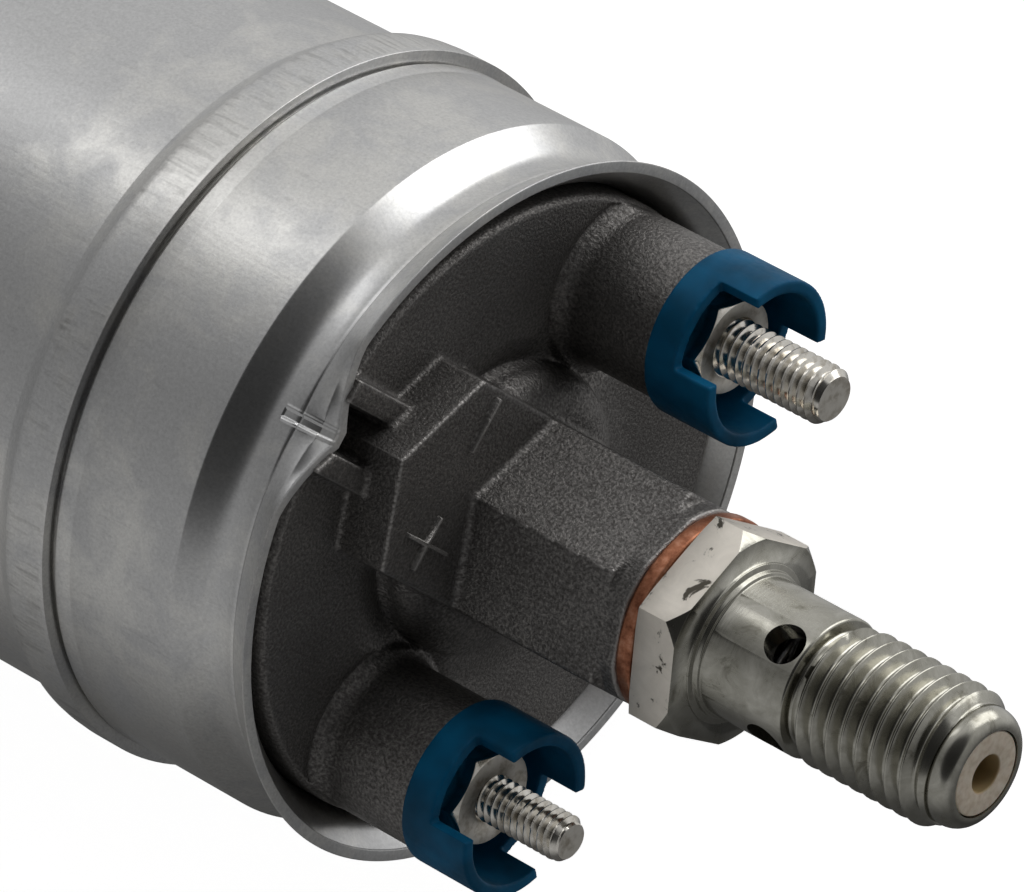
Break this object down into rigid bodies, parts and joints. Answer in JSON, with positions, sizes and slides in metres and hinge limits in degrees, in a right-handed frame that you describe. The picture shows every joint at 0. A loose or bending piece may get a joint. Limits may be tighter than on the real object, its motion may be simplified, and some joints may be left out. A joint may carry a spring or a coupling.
{
  "type": "electric fuel pump",
  "caption": "Inline electric fuel pump: drawn aluminium casing with rolled ends, die-cast outlet cover, cross-drilled threaded outlet fitting and insulated terminal studs.",
  "frame": {"origin": "on the pump axis, in the middle of the plain casing length that the mounting band grips", "axes": "+X along the pump axis towards the outlet fitting; +Z towards the staked tongue and plinth that key the outlet cover; +Y towards the negative terminal"},
  "size_m": [0.199, 0.0618, 0.0618],
  "materials": {
    "drawn_aluminium": "satin, drawn",
    "die_cast_dark": "grainy as-cast, dark",
    "zinc_steel": "satin, zinc plated",
    "nickel_steel": "bright, nickel plated",
    "copper_washer": "satin copper",
    "cream_plastic": "satin",
    "blue_plastic": "satin",
    "tan_plastic": "satin",
    "black_plastic": "satin",
    "phenolic": "satin",
    "fibre_plate": "matt",
    "white_plastic": "satin",
    "fuel_rubber": "matt",
    "brass_seat": "turned",
    "sintered_bronze": "matt, porous",
    "winding_copper": "enamelled",
    "commutator_copper": "turned",
    "spring_steel": "bright",
    "pole_steel": "satin",
    "core_steel": "laminated",
    "ground_steel": "ground",
    "sintered_steel": "matt, pressed",
    "ferrite": "matt",
    "carbon": "matt",
    "cast_aluminium": "machined",
    "filter_mesh": "fine woven"
  },
  "bodies": {
    "housing": {"casing": "drawn_aluminium", "outlet_cover": "die_cast_dark", "outlet_cover_seal": "fuel_rubber", "outlet_fitting": "zinc_steel", "sealing_washer": "copper_washer", "fitting_insert": "cream_plastic", "valve_seat": "brass_seat", "check_valve_spring": "spring_steel", "negative_stud": "nickel_steel", "positive_stud": "nickel_steel", "negative_nut": "nickel_steel", "positive_nut": "nickel_steel", "negative_collar": "blue_plastic", "positive_collar": "blue_plastic", "negative_bush": "tan_plastic", "positive_bush": "tan_plastic", "negative_seal": "fuel_rubber", "positive_seal": "fuel_rubber", "brush_holder": "black_plastic", "front_bush": "sintered_bronze", "upper_brush_spring": "spring_steel", "lower_brush_spring": "spring_steel", "contact_strips": "commutator_copper", "choke_rods": "ferrite", "choke_windings": "winding_copper", "pole_tube": "pole_steel", "magnets": "ferrite", "magnet_clips": "spring_steel", "rear_bush": "sintered_bronze", "pump_plate": "cast_aluminium", "pump_ring": "sintered_steel", "pump_screws": "zinc_steel", "relief_seat": "brass_seat", "relief_spring": "spring_steel", "inlet_cover": "cast_aluminium", "inlet_seal": "fuel_rubber", "strainer_frame": "white_plastic", "strainer_mesh": "filter_mesh"},
    "armature": {"armature_shaft": "ground_steel", "armature_core": "core_steel", "armature_winding": "winding_copper", "armature_insulators": "fibre_plate", "commutator_bars": "commutator_copper", "commutator_hub": "phenolic", "thrust_washers": "white_plastic", "drive_coupling": "white_plastic", "inner_rotor": "sintered_steel"},
    "outer_rotor": {"outer_rotor": "sintered_steel"},
    "check_valve": {"check_valve_plunger": "white_plastic", "check_valve_face": "fuel_rubber"},
    "relief_valve": {"relief_ball": "ground_steel"},
    "upper_brush": {"upper_brush": "carbon"},
    "lower_brush": {"lower_brush": "carbon"}
  },
  "joints": [
    {"name": "armature_spin", "type": "hinge", "parent": "housing", "child": "armature", "pos_m": [0, 0, 0], "axis": [1, 0, 0], "continuous": true},
    {"name": "outer_rotor_spin", "type": "hinge", "parent": "housing", "child": "outer_rotor", "pos_m": [0, 0, -0.0013], "axis": [1, 0, 0], "continuous": true},
    {"name": "check_valve_slide", "type": "slide", "parent": "housing", "child": "check_valve", "axis": [1, 0, 0], "range_m": [0, 0.002], "stiffness_N_per_m": 250, "springref_m": -0.004, "deforming": ["check_valve_spring"]},
    {"name": "relief_valve_slide", "type": "slide", "parent": "housing", "child": "relief_valve", "axis": [-1, 0, 0], "range_m": [0, 0.0015], "stiffness_N_per_m": 3000, "springref_m": -0.002, "deforming": ["relief_spring"]},
    {"name": "upper_brush_slide", "type": "slide", "parent": "housing", "child": "upper_brush", "axis": [0, 0, 1], "range_m": [0, 0.001], "stiffness_N_per_m": 400, "springref_m": -0.005, "deforming": ["upper_brush_spring"]},
    {"name": "lower_brush_slide", "type": "slide", "parent": "housing", "child": "lower_brush", "axis": [0, 0, -1], "range_m": [0, 0.001], "stiffness_N_per_m": 400, "springref_m": -0.005, "deforming": ["lower_brush_spring"]}
  ],
  "couplings": [
    {"joint": "outer_rotor_spin", "follows": "armature_spin", "ratio": 0.85714}
  ]
}
